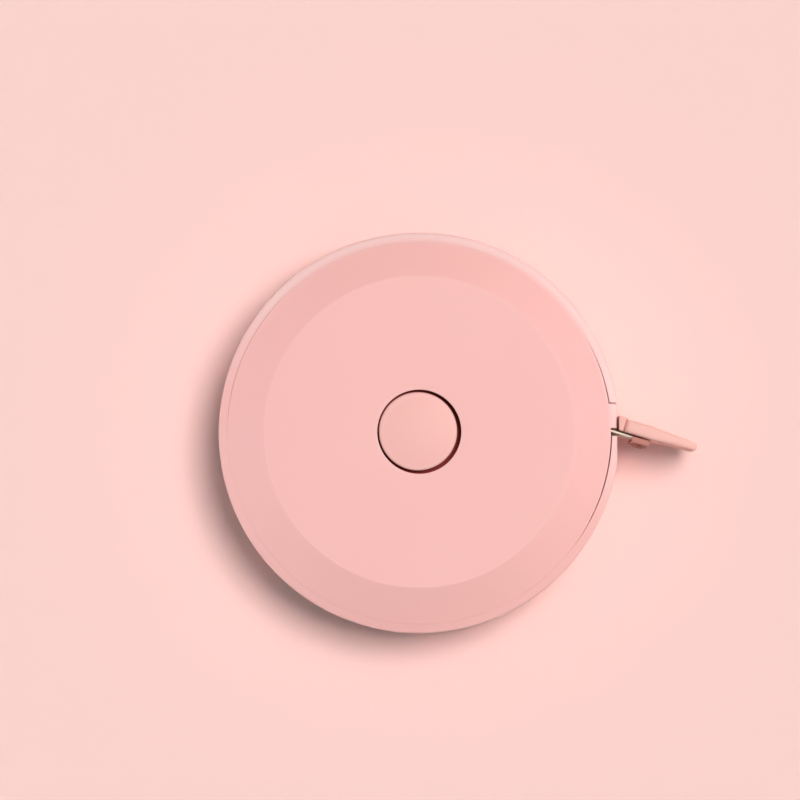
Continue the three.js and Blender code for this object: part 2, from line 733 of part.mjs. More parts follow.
const casePink = { color: 0xf8bbb6, roughness: 0.5, metalness: 0 };
const buttonPink = { color: 0xf8b9b2, roughness: 0.5, metalness: 0 };
const tabPink = { color: 0xf8bab0, roughness: 0.45, metalness: 0 };
const clampRose = { color: 0xcb8b81, roughness: 0.45, metalness: 0 };
const tapeCream = { color: 0xf3e6d3, roughness: 0.9, metalness: 0 };
const reelWhite = { color: 0xefebe4, roughness: 0.55, metalness: 0 };
const springSteel = { color: 0x9b9ea2, roughness: 0.35, metalness: 1 };
const brakeRubber = { color: 0x37353a, roughness: 0.85, metalness: 0 };

function named(name, geometry, finish) {
  const mesh = new THREE.Mesh(geometry, new THREE.MeshStandardMaterial(finish));
  mesh.name = name;
  return mesh;
}

const caseGroup = new THREE.Group().add(
  named('bottom_shell', bottomShell(), casePink),
  named('top_shell', topShell(), casePink),
);

const buttonCap = named('button', button(), buttonPink);
buttonCap.position.x = -BUTTON_OFFSET;
const buttonGroup = new THREE.Group().add(
  buttonCap,
  named('brake_disc', brakeDisc(), reelWhite),
  named('brake_ring', brakeRing(), brakeRubber),
  named('button_spring', buttonSpring(), springSteel),
);

const reelGroup = new THREE.Group().add(
  named('reel_drum', reelDrum(), reelWhite),
  named('reel_cover', reelCover(), reelWhite),
  named('spring_lid', springLid(), reelWhite),
  named('mainspring', mainspring(), springSteel),
  named('tape_winding', tapeWinding(), tapeCream),
  named('tape_key', tapeKey(), reelWhite),
);

const tabGroup = new THREE.Group().add(
  named('pull_tab', pullTab(), tabPink),
  named('tab_clamp', tabClamp(), clampRose),
  named('tab_rivet_upper', tabRivet(1), clampRose),
  named('tab_rivet_lower', tabRivet(-1), clampRose),
);
tabGroup.position.set(exitPoint.x, exitPoint.y, 0);
tabGroup.rotation.z = exitHeading;

const tapeMeasure = new THREE.Group().add(
  caseGroup,
  buttonGroup,
  reelGroup,
  tabGroup,
  named('tape_lead', tapeLead(), tapeCream),
);

export default tapeMeasure;
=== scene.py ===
# %% [markdown]
# # A round pocket tape measure
# The frame holds the working parts of the tape measure in their real places. This lesson gives the
# parts that show a finer surface, gives every part its finish, and lights them as in a small product
# studio. All lengths in the cells are in millimetres, and they become metres only when a mesh is made.

# %% Load the frame
import bisect
import math
import bmesh
import bpy
from mathutils import Matrix, Vector


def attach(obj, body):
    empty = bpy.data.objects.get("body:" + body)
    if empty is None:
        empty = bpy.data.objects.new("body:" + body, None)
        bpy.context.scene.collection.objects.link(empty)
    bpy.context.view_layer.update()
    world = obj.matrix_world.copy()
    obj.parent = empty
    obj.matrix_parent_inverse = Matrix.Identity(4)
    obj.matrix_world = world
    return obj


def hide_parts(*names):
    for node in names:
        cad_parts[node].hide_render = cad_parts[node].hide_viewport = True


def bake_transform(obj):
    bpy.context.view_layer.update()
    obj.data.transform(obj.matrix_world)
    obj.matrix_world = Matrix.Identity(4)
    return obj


MM = 0.001
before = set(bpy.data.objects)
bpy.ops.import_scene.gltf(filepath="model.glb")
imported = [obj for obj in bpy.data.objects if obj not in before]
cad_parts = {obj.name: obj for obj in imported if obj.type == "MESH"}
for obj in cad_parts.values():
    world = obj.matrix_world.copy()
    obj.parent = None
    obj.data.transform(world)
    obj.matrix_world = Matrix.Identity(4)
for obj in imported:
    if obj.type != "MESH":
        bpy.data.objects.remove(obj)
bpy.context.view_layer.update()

# %% [markdown]
# ## The camera
# The photograph looks almost straight down, leaning a little towards us, so the far walls of the case
# hide and the near ones just show. A long lens at 60 cm keeps the round outline round. The camera could
# be aimed with a constraint, but a matrix of its three axes also fixes which way is up.

# %% Camera
SENSOR = 36.0
VIEW_WIDTH = 104.4
DISTANCE = 600.0
AIM = Vector((-2.48, 4.37, 6.0))
LEAN = Vector((0.0, -0.038, 1.0)).normalized()

eye = bpy.data.cameras.new("portrait_camera")
eye.sensor_width = SENSOR
eye.lens = SENSOR * DISTANCE / VIEW_WIDTH
camera = bpy.data.objects.new("portrait_camera", eye)
across = Vector((0, 1, 0)).cross(LEAN).normalized()
turn = Matrix((across, LEAN.cross(across), LEAN)).transposed().to_4x4()
camera.matrix_world = Matrix.Translation((AIM + LEAN * DISTANCE) * MM) @ turn
scene = bpy.context.scene
scene.collection.objects.link(camera)
scene.camera = camera
scene.view_settings.view_transform = "Standard"
print("camera lens:", round(eye.lens, 1), "mm")

# %% [markdown]
# ## The light
# The soft shadow lies to the lower left, so the main light stands to the upper right. Low lights at the
# two sides brighten the bevel there and leave it darker at the bottom of the picture. They would also
# throw long faint shadows over the table, so they are kept off it, and a broad overhead light of the
# table's own takes their place. Suns light the table evenly from edge to edge, which lamps close to the
# object would not. Each one's strength is given as its share of the light on a level face, and the
# shares there add up to about one. The main light is a little warm, and the room and the overhead light
# are cool, so that the shadow stays grey between two pink surfaces.

# %% Lamps and world
def add_sun(name, share, azimuth, elevation, spread, tint=(1, 1, 1)):
    """A sun at these angles, in degrees, with its share of the light on a level face."""
    heading = math.radians(azimuth)
    rise = math.radians(elevation)
    level = math.cos(rise)
    lamp = bpy.data.lights.new(name, "SUN")
    lamp.color = tint
    lamp.energy = math.pi * share / math.sin(rise)
    lamp.angle = math.radians(spread)
    holder = bpy.data.objects.new(name, lamp)
    towards = Vector((math.cos(heading) * level, math.sin(heading) * level, math.sin(rise)))
    holder.rotation_euler = towards.to_track_quat("Z", "Y").to_euler()
    scene.collection.objects.link(holder)
    return holder


SKY_SHARE = 0.14
SKY_TINT = (0.55, 1.08, 1.16, 1)
add_sun("main_light", 0.735, azimuth=33, elevation=67.5, spread=30, tint=(1.090, 0.964, 0.940))
left_light = add_sun("left_light", 0.08, azimuth=193, elevation=8, spread=40)
right_light = add_sun("right_light", 0.045, azimuth=-8, elevation=8, spread=40)
table_light = add_sun("table_light", 0.135, azimuth=0, elevation=90, spread=100, tint=(0.6, 1, 1))
print("lamps:", len(bpy.data.lights))

# %% [markdown]
# ## A bench for node trees
# Finishes and repeated shapes are both made of nodes. One small class stands for a socket, so that sums
# in a finish read as sums, and one method adds any node: first its settings, then its sockets.

# %% Node bench
class Wire:
    """A value in a node tree. Python's operators on it add Math nodes."""

    def __init__(self, bench, socket):
        self.bench = bench
        self.socket = socket

    def output(self, name):
        return Wire(self.bench, self.socket.node.outputs[name])

    def math(self, operation, *values):
        return self.bench.node("ShaderNodeMath", {"operation": operation}, dict(enumerate(values)))

    def __add__(self, other):
        return self.math("ADD", self, other)

    def __radd__(self, other):
        return self.math("ADD", other, self)

    def __sub__(self, other):
        return self.math("SUBTRACT", self, other)

    def __rsub__(self, other):
        return self.math("SUBTRACT", other, self)

    def __mul__(self, other):
        return self.math("MULTIPLY", self, other)

    def __rmul__(self, other):
        return self.math("MULTIPLY", other, self)

    def __truediv__(self, other):
        return self.math("DIVIDE", self, other)

    def __lt__(self, other):
        return self.math("LESS_THAN", self, other)

    def __abs__(self):
        return self.math("ABSOLUTE", self)

    def clamped(self):
        return self.bench.node("ShaderNodeClamp", {}, {"Value": self})


class Bench:
    """Adds nodes to a tree."""

    def __init__(self, tree):
        self.tree = tree

    def node(self, kind, settings=None, sockets=None, output=0):
        made = self.tree.nodes.new(kind)
        for name, value in (settings or {}).items():
            setattr(made, name, value)
        for name, value in (sockets or {}).items():
            if isinstance(value, Wire):
                self.tree.links.new(value.socket, made.inputs[name])
            else:
                made.inputs[name].default_value = value
        return Wire(self, made.outputs[output]) if made.outputs else None

    def mix(self, factor, first, second):
        return self.node("ShaderNodeMix", {"data_type": "RGBA"}, {0: factor, 6: first, 7: second}, output=2)

    def noise(self, place, scale, detail):
        sockets = {"Vector": place, "Scale": scale, "Detail": detail}
        return self.node("ShaderNodeTexNoise", {}, sockets, output="Fac")

    def bump(self, height, strength, depth):
        sockets = {"Strength": strength, "Distance": depth * MM, "Height": height}
        return self.node("ShaderNodeBump", {}, sockets)

    def vector_math(self, operation, *values, output=0):
        return self.node("ShaderNodeVectorMath", {"operation": operation}, dict(enumerate(values)), output)


def new_finish(name):
    material = bpy.data.materials.new(name)
    material.use_nodes = True
    material.node_tree.nodes.clear()
    return material, Bench(material.node_tree)


def close_finish(bench, sockets):
    surface = bench.node("ShaderNodeBsdfPrincipled", {}, sockets)
    bench.node("ShaderNodeOutputMaterial", {}, {"Surface": surface})


print("bench ready")

# %% [markdown]
# ## The table and the room
# The object lies on a plain pale pink board. The board is a single large sheet at the height of the
# resting face, and the room behind it takes the same colour, so that no horizon shows in low views. The
# room's own light is cool, and it comes more from above than from the sides. Light linking gives a lamp
# a list of what it lights: here one that holds the board alone, and one that leaves it out.

# %% Table and room
BOARD_PINK = (0.990, 0.655, 0.613, 1)
BOARD_MOTTLE = (0.990, 0.659, 0.609, 1)
BOARD_REACH = 6000

material, bench = new_finish("board_paint")
place = bench.node("ShaderNodeTexCoord", output="Object")
mottle = bench.noise(place, scale=30, detail=2)
close_finish(bench, {
    "Base Color": bench.mix(mottle, BOARD_PINK, BOARD_MOTTLE),
    "Roughness": 0.9,
    "Specular IOR Level": 0.1,
})
board_mesh = bpy.data.meshes.new("board")
reach = BOARD_REACH * MM
corners = [(-reach, -reach, 0), (reach, -reach, 0), (reach, reach, 0), (-reach, reach, 0)]
board_mesh.from_pydata(corners, [], [(0, 1, 2, 3)])
board_mesh.materials.append(material)
board = bpy.data.objects.new("board", board_mesh)
scene.collection.objects.link(board)


def light_list(name, state):
    """A lamp's list that holds the board alone, or everything but the board."""
    pieces = bpy.data.collections.new(name)
    pieces.objects.link(board)
    pieces.collection_objects[0].light_linking.link_state = state
    return pieces


all_but_board = light_list("all_but_board", "EXCLUDE")
left_light.light_linking.receiver_collection = all_but_board
right_light.light_linking.receiver_collection = all_but_board
table_light.light_linking.receiver_collection = light_list("board_alone", "INCLUDE")

room = bpy.data.worlds.new("room")
room.use_nodes = True
room.node_tree.nodes.clear()
scene.world = room
bench = Bench(room.node_tree)
upwards = bench.node("ShaderNodeTexCoord", output="Generated")
height = bench.node("ShaderNodeSeparateXYZ", {}, {0: upwards}, output="Z")
strength = (height * 1.2 + 0.2) * SKY_SHARE
glow = bench.node("ShaderNodeBackground", {}, {"Color": SKY_TINT, "Strength": strength})
wall = bench.node("ShaderNodeBackground", {}, {"Color": BOARD_PINK, "Strength": 1.0})
seen = bench.node("ShaderNodeLightPath", output="Is Camera Ray")
mixed = bench.node("ShaderNodeMixShader", {}, {0: seen, 1: glow, 2: wall})
bench.node("ShaderNodeOutputWorld", {}, {"Surface": mixed})
print("board and room ready")

# %% [markdown]
# ## Satin plastic
# The case is moulded in a satin pink plastic. Its colour clouds a little between pink and peach where
# the plastic flowed, and its skin has a very fine grain. Handling wears the round edges paler and
# smoother. On top of that, one side of the rim is painted paler, a painted highlight where the light
# falls, and the narrow gaps are painted dark red, painted shade. The clouds and the grain are two noises
# of different size. Wear, the painted highlight and the painted shade are bands at a given distance from
# the axis. The painted highlight also has a heading, and the painted shade has a height, so that it
# stays down in the gap. The clamp and the reel are the same plastic in other colours, and the clamp's
# rose is deepened as painted shade, for the shade it lies in under the tab.

# %% Satin plastic
# The dark red of the painted shade in the narrow gaps.
GAP_SHADE_PAINT = (0.240, 0.008, 0.005, 1)
CASE_PINK = (0.920, 0.496, 0.468)
BUTTON_PINK = (0.905, 0.485, 0.445)
TAB_PINK = (0.935, 0.515, 0.455)
# The clamp's rose, deepened as painted shade for the shade it lies in under the tab.
CLAMP_ROSE_AND_SHADE = (0.532, 0.195, 0.160)
REEL_WHITE = (0.863, 0.831, 0.776)


def band(value, middle, reach):
    return (1 - abs(value - middle) / reach).clamped()


def satin_plastic(name, shade, worn_bands=(), highlit_rim=None, shaded_gap=None, roughness=0.58):
    """Worn bands are (radius, reach, amount), and the painted highlight on one side of a rim adds its
    heading.

    A shaded gap, painted dark as painted shade, is (radius, reach, height). Lengths are in millimetres.
    """
    material, bench = new_finish(name)
    place = bench.node("ShaderNodeTexCoord", output="Object")
    cloud = bench.noise(place, scale=55, detail=2)
    grain = bench.noise(place, scale=6500, detail=2)
    flat = bench.vector_math("MULTIPLY", place, (1, 1, 0))
    reach = bench.vector_math("LENGTH", flat, output="Value") / MM
    height = bench.node("ShaderNodeSeparateXYZ", {}, {0: place}, output="Z") / MM
    wear_and_highlight = cloud * 0
    for radius, spread, amount in worn_bands:
        wear_and_highlight = wear_and_highlight + band(reach, radius, spread) * (0.6 + 0.8 * cloud) * amount
    # Painted highlight: the rim is painted paler on the side where the light falls on it.
    if highlit_rim:
        radius, spread, amount, heading = highlit_rim
        highlit_way = (math.cos(heading), math.sin(heading), 0)
        side = bench.vector_math("DOT_PRODUCT", flat, highlit_way, output="Value")
        lit_share = (0.2 + side / MM / reach * 1.8).clamped()
        wear_and_highlight = wear_and_highlight + band(reach, radius, spread) * lit_share * amount
    red, green, blue = shade
    pink = (0.985 * red, 0.965 * green, 0.995 * blue, 1)
    peach = (red, 1.035 * green, 0.995 * blue, 1)
    pale = tuple(math.sqrt(part) for part in shade) + (1,)
    colour = bench.mix(wear_and_highlight, bench.mix(cloud, pink, peach), pale)
    gap_darkening = cloud * 0
    # Painted shade: the narrow gap is painted dark red below a height, where shade falls.
    if shaded_gap:
        radius, spread, top = shaded_gap
        gap_darkening = (abs(reach - radius) < spread) * (height < top)
        colour = bench.mix(gap_darkening * (0.95 + 0.1 * (grain - 0.5)), colour, GAP_SHADE_PAINT)
    close_finish(bench, {
        "Base Color": colour,
        "Roughness": roughness + (cloud - 0.5) * 0.10 + (grain - 0.5) * 0.08 - wear_and_highlight * 0.25 + gap_darkening * 0.4,
        "Normal": bench.bump(grain, strength=0.12, depth=0.02),
    })
    return material


# The band at 25.45 mm with a heading is a painted highlight on one side of the rim; the band at 5.41 mm is
# painted shade in the hole's gap.
case_plastic = satin_plastic(
    "case_plastic", CASE_PINK, worn_bands=((5.5, 0.35, 0.10), (20.1, 0.35, 0.04), (26.0, 0.3, 0.20)),
    highlit_rim=(25.45, 1.0, 0.75, math.radians(72)), shaded_gap=(5.41, 0.12, 13.3))
# The button's gap band at 5.6 mm is painted shade.
button_plastic = satin_plastic(
    "button_plastic", BUTTON_PINK, worn_bands=((4.7, 0.4, 0.12),), shaded_gap=(5.6, 0.75, 13.0))
tab_plastic = satin_plastic("tab_plastic", TAB_PINK)
clamp_plastic = satin_plastic("clamp_plastic", CLAMP_ROSE_AND_SHADE)
reel_plastic = satin_plastic(
    "reel_plastic", REEL_WHITE, worn_bands=((10.675, 0.3, 0.1), (21.3, 0.3, 0.1)), roughness=0.5)
plastics = (case_plastic, button_plastic, tab_plastic, clamp_plastic, reel_plastic)
print("plastics:", ", ".join(plastic.name for plastic in plastics))

# %% [markdown]
# ## Tape cloth
# The tape is a narrow woven band with a cream coating and printed marks along one edge: a short mark
# for each millimetre, a longer one at five and the longest at ten. The weave is the product of two
# waves, one along the tape and one across it. The marks are found by rounding the distance along the
# tape. That distance comes from the mesh where the tape is wound up, and from its place where it is
# drawn out straight.

# %% Tape cloth
CREAM = (0.896, 0.791, 0.651, 1)
CREAM_SHADE = (0.820, 0.705, 0.560, 1)
INK = (0.045, 0.035, 0.035, 1)
TAPE_LOW = 2.65
TAPE_HIGH = 9.65
THREAD = 0.35
MARGIN = 0.25
MARKS = ((1, 1.1, 0.08), (5, 1.8, 0.09), (10, 3.0, 0.11))


def tape_cloth(name, distance_along):
    material, bench = new_finish(name)
    place = bench.node("ShaderNodeTexCoord", output="Object")
    along = distance_along(bench, place) / MM
    depth = TAPE_HIGH - bench.node("ShaderNodeSeparateXYZ", {}, {0: place}, output="Z") / MM
    turns = 2 * math.pi / THREAD
    weave = along.math("SINE", along * turns) * along.math("SINE", depth * turns)
    fuzz = bench.noise(place, scale=900, detail=3)
    ink = weave * 0
    for spacing, length, width in MARKS:
        steps = along / spacing
        offset = abs(steps - steps.math("ROUND", steps)) * spacing
        printed = abs(depth - (MARGIN + length) / 2) < (length - MARGIN) / 2
        ink = ink.math("MAXIMUM", ink, (offset < width) * printed)
    cloth = bench.mix(fuzz * 0.6 + weave * 0.2, CREAM, CREAM_SHADE)
    close_finish(bench, {
        "Base Color": bench.mix(ink * 0.9, cloth, INK),
        "Roughness": 0.78 + fuzz * 0.15,
        "Sheen Weight": 0.15,
        "Normal": bench.bump(weave + fuzz, strength=0.5, depth=0.05),
    })
    return material


def along_the_winding(bench, place):
    return bench.node("ShaderNodeAttribute", {"attribute_name": "run"}, output="Fac")


wound_cloth = tape_cloth("wound_cloth", along_the_winding)
print("cloth:", wound_cloth.name)

# %% [markdown]
# ## Spring steel and brake rubber
# The springs are drawn from bright steel, whose drawing lines run along the strip. The brake ring is a
# matt rubber with a dusty bloom. Both are hidden inside the case, and they get a true finish all the
# same, because the parts are also used one by one.

# %% Steel and rubber
DARK_STEEL = (0.30, 0.31, 0.33, 1)
BRIGHT_STEEL = (0.46, 0.47, 0.49, 1)
RUBBER_BLACK = (0.030, 0.028, 0.033, 1)
RUBBER_BLOOM = (0.062, 0.060, 0.064, 1)


def spring_steel(name):
    material, bench = new_finish(name)
    place = bench.node("ShaderNodeTexCoord", output="Object")
    drawn = bench.node("ShaderNodeMapping", {}, {"Vector": place, "Scale": (1, 1, 14)})
    lines = bench.noise(drawn, scale=900, detail=3)
    close_finish(bench, {
        "Base Color": bench.mix(lines, DARK_STEEL, BRIGHT_STEEL),
        "Metallic": 1.0,
        "Roughness": 0.24 + lines * 0.2,
        "Normal": bench.bump(lines, strength=0.2, depth=0.01),
    })
    return material


def brake_rubber(name):
    material, bench = new_finish(name)
    place = bench.node("ShaderNodeTexCoord", output="Object")
    bloom = bench.noise(place, scale=1500, detail=4)
    close_finish(bench, {
        "Base Color": bench.mix(bloom, RUBBER_BLACK, RUBBER_BLOOM),
        "Roughness": 0.72 + bloom * 0.2,
        "Normal": bench.bump(bloom, strength=0.4, depth=0.03),
    })
    return material


steel = spring_steel("drawn_steel")
rubber = brake_rubber("brake_ring_rubber")
print("finishes:", steel.name, rubber.name)

# %% [markdown]
# ## Turned forms
# The shells and the button are round, so each one starts as a profile of radius and height that is
# turned about the axis. Moulded edges are never sharp, so every corner of a profile may carry a fillet.
# A Screw modifier could do the turning, but the mouth changes the rim at one side, so the profile here
# may differ from angle to angle.

# %% Profiles and turning
FILLET_STEPS = 6
CRISP_ANGLE = math.radians(32)


def soften(corners):
    """Corners of (radius, height, fillet) become points, with an arc for each fillet."""
    points = []
    for index, (radius, height, fillet) in enumerate(corners):
        corner = Vector((radius, height))
        if not fillet:
            points.append(corner)
            continue
        back = (Vector(corners[index - 1][:2]) - corner).normalized()
        on = (Vector(corners[(index + 1) % len(corners)][:2]) - corner).normalized()
        half = back.angle(on) / 2
        centre = corner + (back + on).normalized() * fillet / math.sin(half)
        spoke = corner + back * fillet / math.tan(half) - centre
        sweep = math.copysign(math.pi - 2 * half, on.cross(back))
        for step in range(FILLET_STEPS + 1):
            points.append(centre + Matrix.Rotation(sweep * step / FILLET_STEPS, 2) @ spoke)
    return points


def new_piece(name, form, finish):
    mesh = bpy.data.meshes.new(name)
    form.to_mesh(mesh)
    form.free()
    mesh.materials.append(finish)
    piece = bpy.data.objects.new(name, mesh)
    scene.collection.objects.link(piece)
    return piece


def turned(name, profile_at, angles, finish):
    """Turn a profile about the axis. It starts and ends on the axis, or closes on itself as a ring."""
    form = bmesh.new()
    rings = [profile_at(angle) for angle in angles]
    open_ended = abs(rings[0][0].x) < 1e-9
    poles = [form.verts.new((0, 0, rings[0][end].y * MM)) for end in (0, -1)] if open_ended else []
    columns = []
    for angle, ring in zip(angles, rings):
        beam = Vector((math.cos(angle), math.sin(angle), 0))
        inner = ring[1:-1] if open_ended else ring
        column = [form.verts.new((beam * point.x + Vector((0, 0, point.y))) * MM) for point in inner]
        columns.append([poles[0], *column, poles[1]] if open_ended else [*column, column[0]])
    for here, there in zip(columns, columns[1:] + columns[:1]):
        for low, high in zip(range(len(here)), range(1, len(here))):
            loop = [here[low], there[low], there[high], here[high]]
            form.faces.new(list(dict.fromkeys(loop)))
    return new_piece(name, form, finish)


def settle(piece):
    """Make what the modifiers show the piece's own mesh."""
    graph = bpy.context.evaluated_depsgraph_get()
    mesh = bpy.data.meshes.new_from_object(piece.evaluated_get(graph))
    piece.modifiers.clear()
    plain = piece.data
    piece.data = mesh
    bpy.data.meshes.remove(plain)
    mesh.name = piece.name


def smooth(piece):
    """Shade round faces smoothly, keep the crisp edges, and let the large faces stay flat."""
    piece.data.shade_smooth()
    piece.data.set_sharp_from_angle(angle=CRISP_ANGLE)
    piece.modifiers.new("level", "WEIGHTED_NORMAL").keep_sharp = True
    settle(piece)
    triangles = sum(len(face.vertices) - 2 for face in piece.data.polygons)
    print(piece.name, "has", triangles, "triangles")


print("turning tools ready")

# %% [markdown]
# ## The mouth's outlines
# At the mouth the round wall of the lower shell has a small flat, and the upper shell carries a block
# that guides the tape. Read as distance from the axis by angle, they tell the turning how far each rim
# reaches. The two shells don't fit equally close all round: the seam between them is widest beside the
# mouth.

# %% Rims by angle
LOWER_RIM = 26.0
UPPER_RIM = 24.84
HOLE_RIM = 13.5
CROWN = 0.3
CREASE = 20.1
BEVEL_ANGLE = math.radians(29)
BEVEL_DROP = math.tan(BEVEL_ANGLE)
MOUTH_FACE = 25.7
BLOCK_FACE = 25.5
MOUTH_EDGE = 0.6
BLOCK_EDGE = 3.7
BLOCK_CORNER = 0.35
SEAM_CLOSED = -0.04
SEAM_FITS = ((-4, 36, 0.17), (155, 34, 0.07))
FLAT_END = 8.715
ANGLE_FANS = ((-180, 1.5, 240), (-2, 0.25, 48), (1.33, 0.02, 8), (7.4, 0.05, 28))


def polar(radius, angle):
    return Vector((radius * math.cos(angle), radius * math.sin(angle)))


def bevel_height(radius):
    return HOLE_RIM - CROWN - (radius - CREASE) * BEVEL_DROP


def lower_reach(angle):
    return min(LOWER_RIM, MOUTH_FACE / max(math.cos(angle), 0.5))


def seam_width(angle):
    """How far the seam stands open: closed, or open within some degrees of each middle."""
    width = SEAM_CLOSED
    for middle, spread, extra in SEAM_FITS:
        width += extra * max(0.0, 1 - (math.degrees(angle) - middle) ** 2 / spread ** 2)
    return width


def corner_arc(face):
    centre = Vector((face - BLOCK_CORNER, BLOCK_EDGE - BLOCK_CORNER))
    return [centre + polar(BLOCK_CORNER, step * math.pi / 16) for step in range(9)]


def rim_by_angle(outline, rim):
    """How far a rim reaches at an angle, with an outline that swells from it."""
    stations = sorted((math.atan2(point.y, point.x), max(rim, point.length)) for point in outline)
    angles = [angle for angle, reach in stations]

    def reach_at(angle):
        spot = bisect.bisect(angles, angle)
        if spot in (0, len(angles)):
            return rim
        (before, low), (after, high) = stations[spot - 1], stations[spot]
        return low + (high - low) * (angle - before) / max(after - before, 1e-9)

    return reach_at


block_start = [polar(UPPER_RIM, math.asin(MOUTH_EDGE / BLOCK_FACE))]
block_front = [Vector((BLOCK_FACE, MOUTH_EDGE + 0.025 + step * 0.25)) for step in range(11)]
block_end = [Vector((math.sqrt(UPPER_RIM ** 2 - BLOCK_EDGE ** 2), BLOCK_EDGE))]
block_reach = rim_by_angle(block_start + block_front + corner_arc(BLOCK_FACE) + block_end, UPPER_RIM)


def spread_angles():
    """Even steps round the case, closer ones at the mouth and the closest at the block's two ends."""
    marks = {-FLAT_END, FLAT_END}
    for first, step, count in ANGLE_FANS:
        marks |= {round(first + step * index, 3) for index in range(count)}
    return [math.radians(mark) for mark in sorted(marks)]


case_angles = spread_angles()
print("rim at the mouth:", round(lower_reach(0.0), 2), "and", round(block_reach(math.radians(5)), 2), "mm")

# %% [markdown]
# ## The lower shell
# The lower shell is a dish with a bevelled foot, a tongue that the upper shell snaps over, and a hollow
# post in the middle that the reel turns on. Its rim stands outside the upper shell and carries on the
# slope of that shell's bevel. So the seam between the two is a hairline, and it opens to a dark line
# beside the mouth.

# %% Lower shell
SEAM = 8.898
RIM_REVEAL = 0.06
RIM_ROUND = 0.5
FOOT_WIDTH = 3.4
FOOT_ANGLE = math.radians(30)
FOOT_RISE = math.tan(FOOT_ANGLE)
WALL = 1.4
INNER_WALL = 23.44
TONGUE = 24.04
TONGUE_TOP = 9.548
SNAP = 9.323
SNAP_RISE = 0.2
PAD_INNER = 4.425
PAD_OUTER = 5.425
PAD_TOP = 1.65
POST_FOOT = 3.975
POST_FOOT_TOP = 2.6
POST = 3.175
POST_TOP = 9.0
POST_BORE = 1.875
BORE_FLOOR = 3.45


def lower_profile(angle):
    rim = lower_reach(angle)
    groove = UPPER_RIM + seam_width(angle)
    rim_top = bevel_height(rim) - RIM_REVEAL
    groove_top = bevel_height(groove) - RIM_REVEAL
    foot = LOWER_RIM - FOOT_WIDTH
    inner_rise = (INNER_WALL - LOWER_RIM + FOOT_WIDTH) * FOOT_RISE + WALL / math.cos(FOOT_ANGLE)
    inner_floor = INNER_WALL - (inner_rise - WALL) / FOOT_RISE
    return soften([
        (0, 0, 0), (foot, 0, 0.5), (rim, (rim - foot) * FOOT_RISE, 1.0), (rim, rim_top, RIM_ROUND),
        (groove, groove_top, 0.06), (groove, SEAM, 0), (TONGUE, SEAM, 0), (TONGUE, SNAP - SNAP_RISE, 0),
        (TONGUE + SNAP_RISE, SNAP, 0), (TONGUE, SNAP + SNAP_RISE, 0), (TONGUE, TONGUE_TOP, 0),
        (INNER_WALL, TONGUE_TOP, 0), (INNER_WALL, inner_rise, 0), (inner_floor, WALL, 0.4),
        (PAD_OUTER, WALL, 0.1), (PAD_OUTER, PAD_TOP, 0.05), (PAD_INNER, PAD_TOP, 0.05),
        (PAD_INNER, WALL, 0.1), (POST_FOOT, WALL, 0.1), (POST_FOOT, POST_FOOT_TOP, 0.1),
        (POST, POST_FOOT_TOP, 0.1), (POST, POST_TOP, 0.15), (POST_BORE, POST_TOP, 0.15),
        (POST_BORE, BORE_FLOOR, 0.1), (0, BORE_FLOOR, 0),
    ])


lower_shell = turned("lower_shell", lower_profile, case_angles, case_plastic)
print(lower_shell.name, "turned:", len(lower_shell.data.vertices), "points")

# %% [markdown]
# ## The upper shell
# The upper shell has the flat disc that carries the button hole, a crisp crease, and a wide bevel that
# runs down to the seam. The disc is crowned by a fraction of a millimetre, as moulded lids are. Under
# the disc hang the collar that guides the button and the shoulder that keeps the reel down.

# %% Upper shell
HOLE = 5.41
ROOF_UNDER = 12.1
UPPER_EDGE = 9.098
REBATE = 24.14
REBATE_TOP = 9.648
RIM_FILLET = 0.2
BLOCK_FILLET = 0.18
CROWN_STEPS = 8
COLLAR_INNER = 6.525
COLLAR_OUTER = 7.225
COLLAR_LOW = 9.85
SHOULDER = 8.125
SHOULDER_LOW = 10.55


def upper_profile(angle):
    rim = block_reach(angle)
    on_block = min(1.0, (rim - UPPER_RIM) / (BLOCK_FACE - UPPER_RIM))
    rim_fillet = RIM_FILLET + (BLOCK_FILLET - RIM_FILLET) * on_block
    inner_drop = bevel_height(INNER_WALL) - WALL / math.cos(BEVEL_ANGLE)
    ceiling = INNER_WALL - (ROOF_UNDER - inner_drop) / BEVEL_DROP
    crown = []
    for step in range(1, CROWN_STEPS):
        share = 1 - step / CROWN_STEPS
        crown.append((HOLE + (CREASE - HOLE) * share, HOLE_RIM - CROWN * share * share, 0))
    return soften([
        (HOLE, ROOF_UNDER, 0), (COLLAR_INNER, ROOF_UNDER, 0), (COLLAR_INNER, COLLAR_LOW, 0.1),
        (COLLAR_OUTER, COLLAR_LOW, 0.1), (COLLAR_OUTER, SHOULDER_LOW, 0), (SHOULDER, SHOULDER_LOW, 0.1),
        (SHOULDER, ROOF_UNDER, 0.1), (ceiling, ROOF_UNDER, 0.3), (INNER_WALL, inner_drop, 0),
        (INNER_WALL, REBATE_TOP, 0), (REBATE, REBATE_TOP, 0), (REBATE, SNAP + SNAP_RISE, 0),
        (REBATE + SNAP_RISE, SNAP, 0), (REBATE, SNAP - SNAP_RISE, 0), (REBATE, UPPER_EDGE, 0),
        (rim, UPPER_EDGE, 0.1), (rim, bevel_height(rim), rim_fillet), (CREASE, HOLE_RIM - CROWN, 0.5),
        *crown, (HOLE, HOLE_RIM, 0.16),
    ])


upper_shell = turned("upper_shell", upper_profile, case_angles, case_plastic)
print(upper_shell.name, "turned:", len(upper_shell.data.vertices), "points")

# %% [markdown]
# ## The mouth and the post's slot
# The tape passes through a slot that both shells share. It is wide inside, rounded over the nose of the
# block so that the tape bends gently, and straight outside. The lower rim has a notch for the block,
# and the post has a narrow slot for the end of the mainspring. All are cut with a Boolean, which is the
# quickest way to cut one opening through two turned shells.

